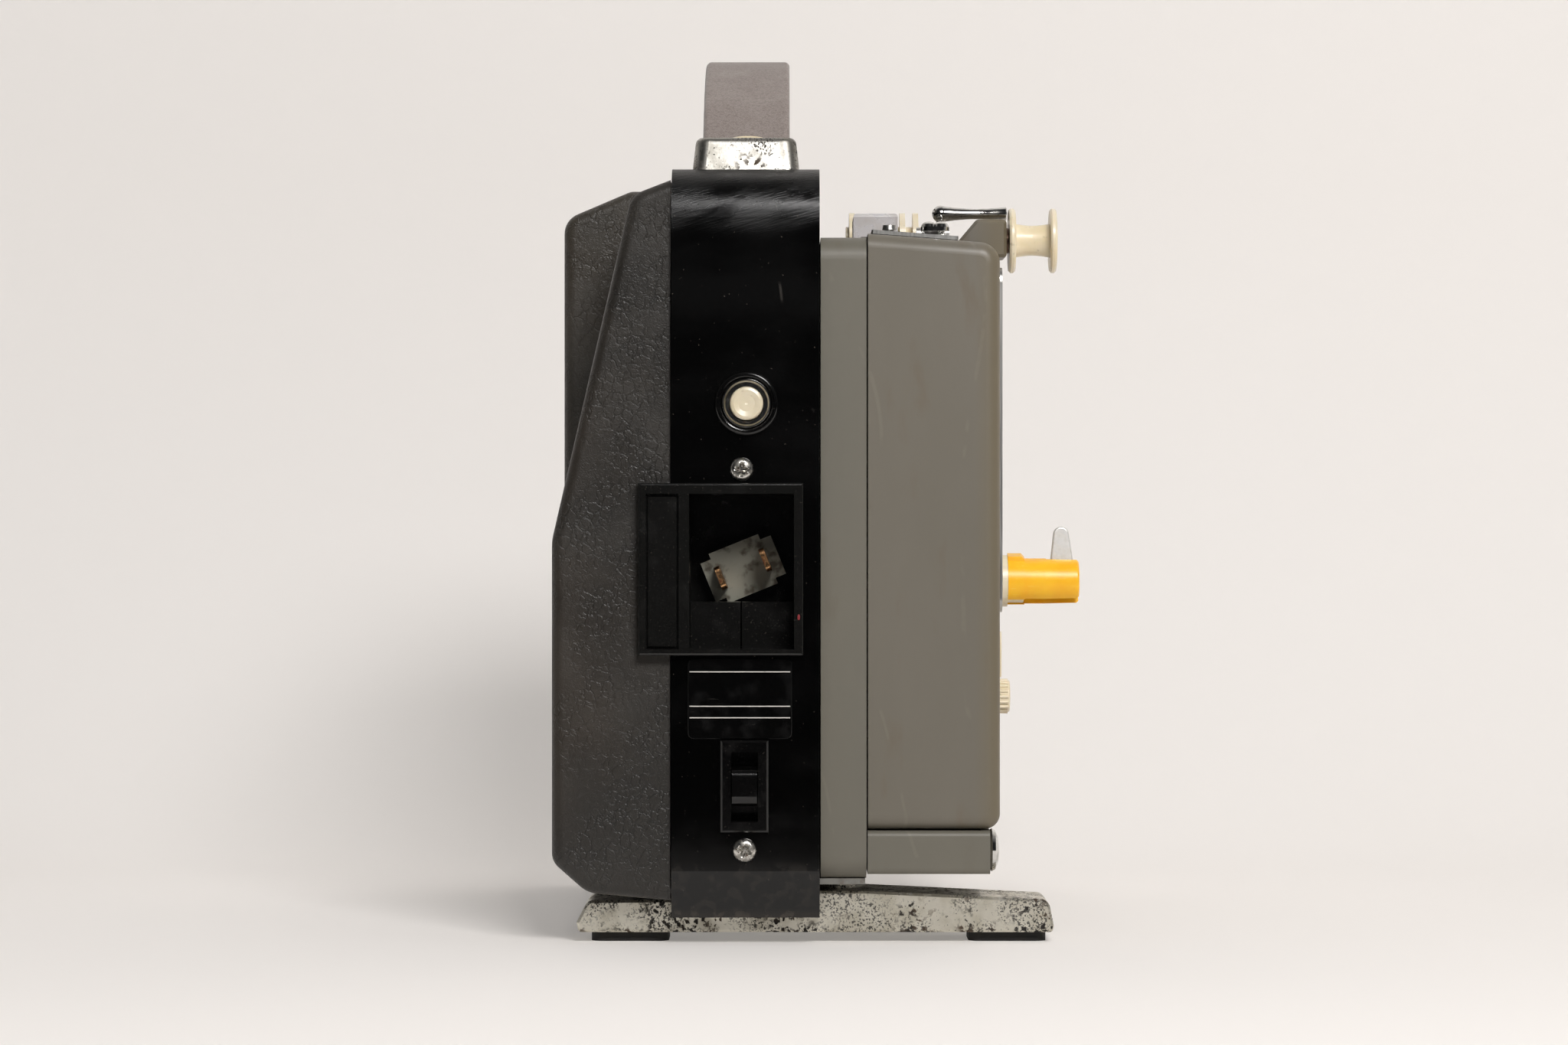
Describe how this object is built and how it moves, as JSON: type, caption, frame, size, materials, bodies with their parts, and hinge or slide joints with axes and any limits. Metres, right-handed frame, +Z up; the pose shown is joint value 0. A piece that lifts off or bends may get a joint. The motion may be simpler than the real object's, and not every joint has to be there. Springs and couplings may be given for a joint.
{
  "type": "movie projector",
  "caption": "Compact 8 mm film projector with a bowed carrying strap, a black spine band, a folding supply arm, a take-up spindle and cast feet.",
  "frame": {"origin": "on the ground under the middle of the whole object's box", "axes": "+Y the way the lens points, -Y the rear, +X the film side with the spindles, +Z up"},
  "size_m": [0.1502, 0.2134, 0.2407],
  "materials": {
    "black_gloss": "glossy black moulding with fine scratches",
    "black_matt": "black moulding",
    "grained_cover": "leather-grained dark warm grey moulding",
    "chassis_paint": "grey paint on a casting",
    "cover_paint": "warm grey paint",
    "bright_steel": "plain steel",
    "core_steel": "varnished laminations and winding",
    "worn_chrome": "pitted chrome plate",
    "chrome": "bright chrome plate",
    "rusty_steel": "rusted steel",
    "black_rubber": "rubber",
    "strap_vinyl": "warm grey grained vinyl",
    "ivory_plastic": "ivory moulding",
    "yellow_plastic": "yellow moulding",
    "pale_plastic": "pale translucent moulding",
    "ceramic": "grey-white ceramic",
    "brass": "tarnished brass",
    "aluminium": "satin aluminium",
    "black_metal": "black anodised or painted metal",
    "glass": "polished glass",
    "mirror": "silvered glass"
  },
  "bodies": {
    "root": {"spine_band": "black_gloss", "motor_side_cover": "grained_cover", "main_chassis": "chassis_paint", "mechanism_cover": "cover_paint", "control_box": "cover_paint", "bottom_plate": "bright_steel", "rear_leg": "worn_chrome", "front_foot": "worn_chrome", "rubber_feet": "black_rubber", "handle_strap": "strap_vinyl", "handle_ends": "worn_chrome", "button_bezel": "black_gloss", "button_ring": "chrome", "inlet_housing": "black_matt", "inlet_block": "ceramic", "inlet_blades": "brass", "terminal_cover": "black_matt", "switch_bezel": "black_matt", "switch_bodies": "black_matt", "fasteners": "chrome", "roller_bracket": "cover_paint", "roller_axle": "rusty_steel", "trimmer_base": "aluminium", "film_guides": "ivory_plastic", "film_inlet_block": "pale_plastic", "fascia_plate": "aluminium", "motor_stator": "core_steel", "drive_belts": "black_rubber", "transformer": "core_steel", "lamp": "glass", "lamp_shelf": "bright_steel", "turning_mirror": "mirror", "aperture_plate": "bright_steel", "lens_holder": "black_metal"},
    "lamp_cover": {"lamp_cover": "grained_cover"},
    "take_up_spindle": {"take_up_core": "ivory_plastic", "take_up_adapter": "yellow_plastic"},
    "take_up_latch": {"take_up_latch": "chrome"},
    "supply_arm": {"supply_arm": "aluminium"},
    "supply_spindle": {"supply_core": "ivory_plastic", "supply_adapter": "yellow_plastic"},
    "supply_latch": {"supply_latch": "chrome"},
    "guide_roller": {"guide_roller": "ivory_plastic"},
    "film_lever": {"film_lever": "chrome"},
    "trimmer_lever": {"trimmer_lever": "chrome"},
    "rear_button": {"rear_button": "ivory_plastic"},
    "light_switch": {"light_switch": "black_matt"},
    "function_knob": {"function_knob": "chrome"},
    "drive_train": {"main_shaft": "bright_steel", "inching_knob": "ivory_plastic"},
    "motor_rotor": {"motor_rotor": "bright_steel"},
    "film_sprocket": {"film_sprocket": "ivory_plastic"},
    "shutter": {"shutter": "bright_steel"},
    "focus_knob": {"focus_knob": "black_matt"},
    "lens": {"lens_barrel": "black_metal", "lens_glass": "glass"},
    "zoom_ring": {"zoom_ring": "black_metal"},
    "pressure_plate": {"pressure_plate": "bright_steel"},
    "gate_door": {"gate_door": "cover_paint"}
  },
  "joints": [
    {"name": "lamp_cover_pull", "type": "slide", "parent": "root", "child": "lamp_cover", "axis": [-1, 0, 0], "range_m": [0, 0.045]},
    {"name": "take_up_spin", "type": "hinge", "parent": "root", "child": "take_up_spindle", "pos_m": [0.04822, -0.0488, 0.0947], "axis": [1, 0, 0], "continuous": true},
    {"name": "take_up_latch_fold", "type": "hinge", "parent": "take_up_spindle", "child": "take_up_latch", "pos_m": [0.06243, -0.0488, 0.0947], "axis": [0, 1, 0], "range_deg": [0, 90]},
    {"name": "supply_arm_swing", "type": "hinge", "parent": "root", "child": "supply_arm", "pos_m": [0.04423, 0.0782, 0.16], "axis": [1, 0, 0], "range_deg": [0, 150]},
    {"name": "supply_spin", "type": "hinge", "parent": "supply_arm", "child": "supply_spindle", "pos_m": [0.04822, 0.0782, 0.093], "axis": [1, 0, 0], "continuous": true},
    {"name": "supply_latch_fold", "type": "hinge", "parent": "supply_spindle", "child": "supply_latch", "pos_m": [0.06023, 0.0782, 0.093], "axis": [0, 1, 0], "range_deg": [-90, 0]},
    {"name": "guide_roller_spin", "type": "hinge", "parent": "root", "child": "guide_roller", "pos_m": [0.05223, -0.0788, 0.1859], "axis": [1, 0, 0], "continuous": true},
    {"name": "film_lever_turn", "type": "hinge", "parent": "root", "child": "film_lever", "pos_m": [0.02863, -0.0638, 0.1941], "axis": [0, 0, 1], "range_deg": [0, 70]},
    {"name": "trimmer_press", "type": "hinge", "parent": "root", "child": "trimmer_lever", "pos_m": [0.02622, -0.0718, 0.1883], "axis": [1, 0, 0], "range_deg": [0, 2.6], "stiffness_Nm_per_rad": 0.2, "springref_deg": -5.73},
    {"name": "rear_button_press", "type": "slide", "parent": "root", "child": "rear_button", "axis": [0, 1, 0], "range_m": [0, 0.0022], "stiffness_N_per_m": 300, "springref_m": -0.002},
    {"name": "light_switch_slide", "type": "slide", "parent": "root", "child": "light_switch", "axis": [0, 0, 1], "range_m": [-0.003, 0.003]},
    {"name": "function_turn", "type": "hinge", "parent": "root", "child": "function_knob", "pos_m": [0.04122, -0.0898, 0.0242], "axis": [1, 0, 0], "range_deg": [-60, 60]},
    {"name": "inching_turn", "type": "hinge", "parent": "root", "child": "drive_train", "pos_m": [0.04623, -0.0338, 0.0626], "axis": [1, 0, 0], "continuous": true},
    {"name": "motor_turn", "type": "hinge", "parent": "root", "child": "motor_rotor", "pos_m": [-0.02378, -0.0598, 0.048], "axis": [1, 0, 0], "continuous": true},
    {"name": "sprocket_turn", "type": "hinge", "parent": "root", "child": "film_sprocket", "pos_m": [0.02022, -0.00138, 0.0508], "axis": [1, 0, 0], "continuous": true},
    {"name": "shutter_turn", "type": "hinge", "parent": "root", "child": "shutter", "pos_m": [0.02022, -0.0038, 0.079], "axis": [0, 1, 0], "continuous": true},
    {"name": "focus_turn", "type": "hinge", "parent": "root", "child": "focus_knob", "pos_m": [0.04623, 0.0772, 0.072], "axis": [-1, 0, 0], "range_deg": [0, 52.2]},
    {"name": "lens_focus", "type": "slide", "parent": "root", "child": "lens", "axis": [0, 1, 0], "range_m": [0, 0.005]},
    {"name": "zoom_turn", "type": "hinge", "parent": "lens", "child": "zoom_ring", "pos_m": [0.02022, 0.0962, 0.095], "axis": [0, 1, 0], "range_deg": [0, 60]},
    {"name": "pressure_plate_slide", "type": "slide", "parent": "root", "child": "pressure_plate", "axis": [0, 1, 0], "range_m": [0, 0.002], "stiffness_N_per_m": 200, "springref_m": -0.002},
    {"name": "gate_door_open", "type": "hinge", "parent": "root", "child": "gate_door", "pos_m": [0.04478, 0.0182, 0.095], "axis": [0, 0, -1], "range_deg": [0, 100]}
  ],
  "couplings": [
    {"joint": "motor_turn", "follows": "inching_turn", "ratio": 2.2353},
    {"joint": "sprocket_turn", "follows": "inching_turn", "ratio": -0.5},
    {"joint": "shutter_turn", "follows": "inching_turn", "ratio": -1},
    {"joint": "focus_turn", "follows": "lens_focus", "rad_per_m": 181.8}
  ]
}
